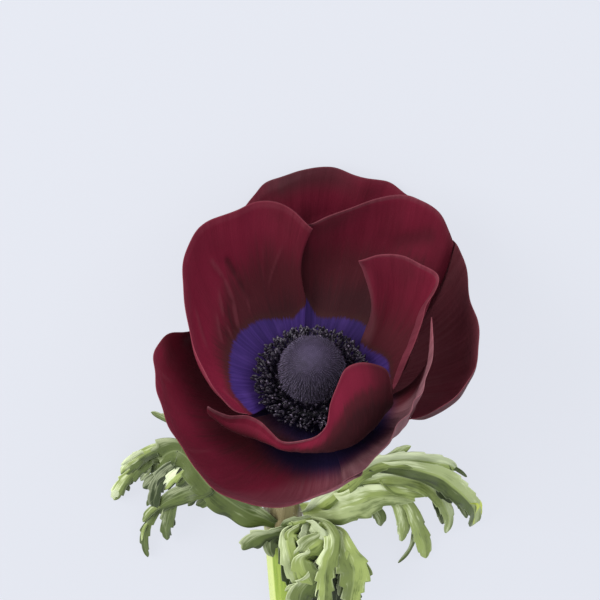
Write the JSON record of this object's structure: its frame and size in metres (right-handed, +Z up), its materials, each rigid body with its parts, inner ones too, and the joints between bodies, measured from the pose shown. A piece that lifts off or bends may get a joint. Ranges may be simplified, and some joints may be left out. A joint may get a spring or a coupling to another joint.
{
  "type": "cut anemone flower",
  "caption": "Cut anemone lying on a surface: cupped wine-red petals round a dark dome and ring of stamens, feathery leafy bracts below, and a bare green stem.",
  "frame": {"origin": "middle of the small flat spot on the back of the lowest petal, on which the flower head rests, at surface level", "axes": "+Z up from the surface; +Y along the lying stem from its cut end towards the flower head; +X to the right, seen from above with the head away"},
  "size_m": [0.096, 0.2558, 0.0617],
  "materials": {
    "petal": "velvety wine-red petal, violet-blue at its base",
    "dome": "matte, finely hairy, dark grey-violet",
    "stamens": "matte blue-black anthers on dark filaments",
    "bract": "satin green leaf with paler veins and margins",
    "stem": "satin ridged yellow-green stem, brown-tan neck under the flower"
  },
  "bodies": {
    "root": {"stem": "stem", "pistil_dome": "dome", "stamens": "stamens", "petal_upper_left": "petal", "petal_inner_right": "petal", "petal_upper_right": "petal", "petal_inner_lower": "petal", "petal_lower_right": "petal", "petal_top": "petal", "petal_lower_left": "petal", "petal_right": "petal", "bract_left": "bract", "bract_right": "bract", "bract_front": "bract"}
  },
  "joints": []
}
